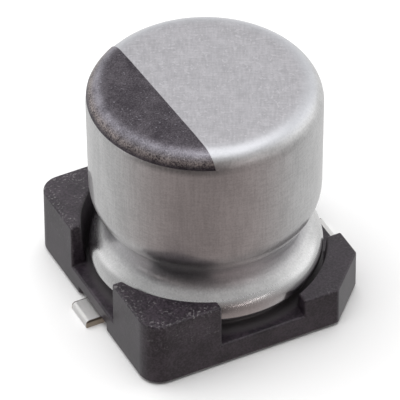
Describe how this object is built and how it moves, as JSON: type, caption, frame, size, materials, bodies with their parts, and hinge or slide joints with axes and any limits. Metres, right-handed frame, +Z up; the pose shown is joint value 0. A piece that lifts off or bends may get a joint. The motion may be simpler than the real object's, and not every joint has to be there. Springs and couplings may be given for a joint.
{
  "type": "surface-mount electrolytic capacitor",
  "caption": "Small aluminium can with a rounded top, a dark polarity mark and a bead groove, on a black moulded seat with flat soldering terminals.",
  "frame": {"origin": "centre of the terminals' undersides, on the soldering plane under the can's axis", "axes": "+Z up along the can's axis, -X towards the marked negative terminal, +X towards the positive terminal"},
  "size_m": [0.006, 0.0054, 0.0054],
  "materials": {
    "seat_plastic": "moulded, near black, finely grained",
    "can_aluminium": "drawn, satin, with fine upright lines on the side",
    "mark_ink": "printed ink, speckled, half gloss",
    "bung_rubber": "plain black",
    "winding_paper": "paper and etched foil, soaked",
    "tape_film": "thin film tape",
    "tab_aluminium": "pressed wire",
    "lead_tin": "tin plated, flattened"
  },
  "bodies": {
    "root": {"base": "seat_plastic", "can": "can_aluminium", "polarity_mark": "mark_ink", "bung": "bung_rubber", "winding": "winding_paper", "winding_tape": "tape_film", "negative_tab": "tab_aluminium", "positive_tab": "tab_aluminium", "negative_lead": "lead_tin", "positive_lead": "lead_tin"}
  },
  "joints": []
}
